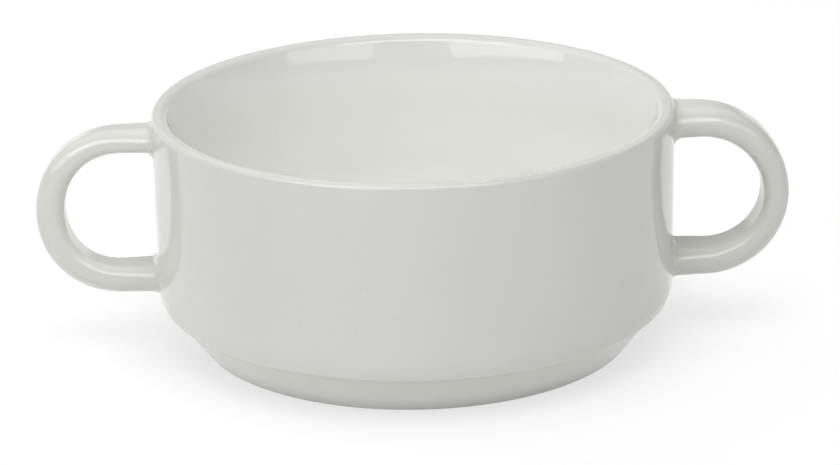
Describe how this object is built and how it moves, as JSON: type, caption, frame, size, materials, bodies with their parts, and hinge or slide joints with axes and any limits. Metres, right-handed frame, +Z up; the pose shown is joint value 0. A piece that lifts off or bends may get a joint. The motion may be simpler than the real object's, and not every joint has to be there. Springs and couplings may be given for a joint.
{
  "type": "lug soup bowl",
  "caption": "Deep stacking soup bowl of glazed stoneware with straight walls, a stepped tapering foot and a loop handle on each side.",
  "frame": {"origin": "middle of the foot, on the surface that the bowl stands on", "axes": "+Z up along the bowl's axis, +X along the line through both handles"},
  "size_m": [0.1602, 0.11, 0.0506],
  "materials": {
    "bowl_glaze": "glossy off-white glaze, unglazed ring on the foot",
    "handle_glaze": "glossy off-white glaze",
    "slip_glaze": "glossy glaze pooled over the slip seam"
  },
  "bodies": {
    "root": {"bowl_body": "bowl_glaze", "handle_left": "handle_glaze", "handle_right": "handle_glaze", "slip_left_upper": "slip_glaze", "slip_left_lower": "slip_glaze", "slip_right_upper": "slip_glaze", "slip_right_lower": "slip_glaze"}
  },
  "joints": []
}
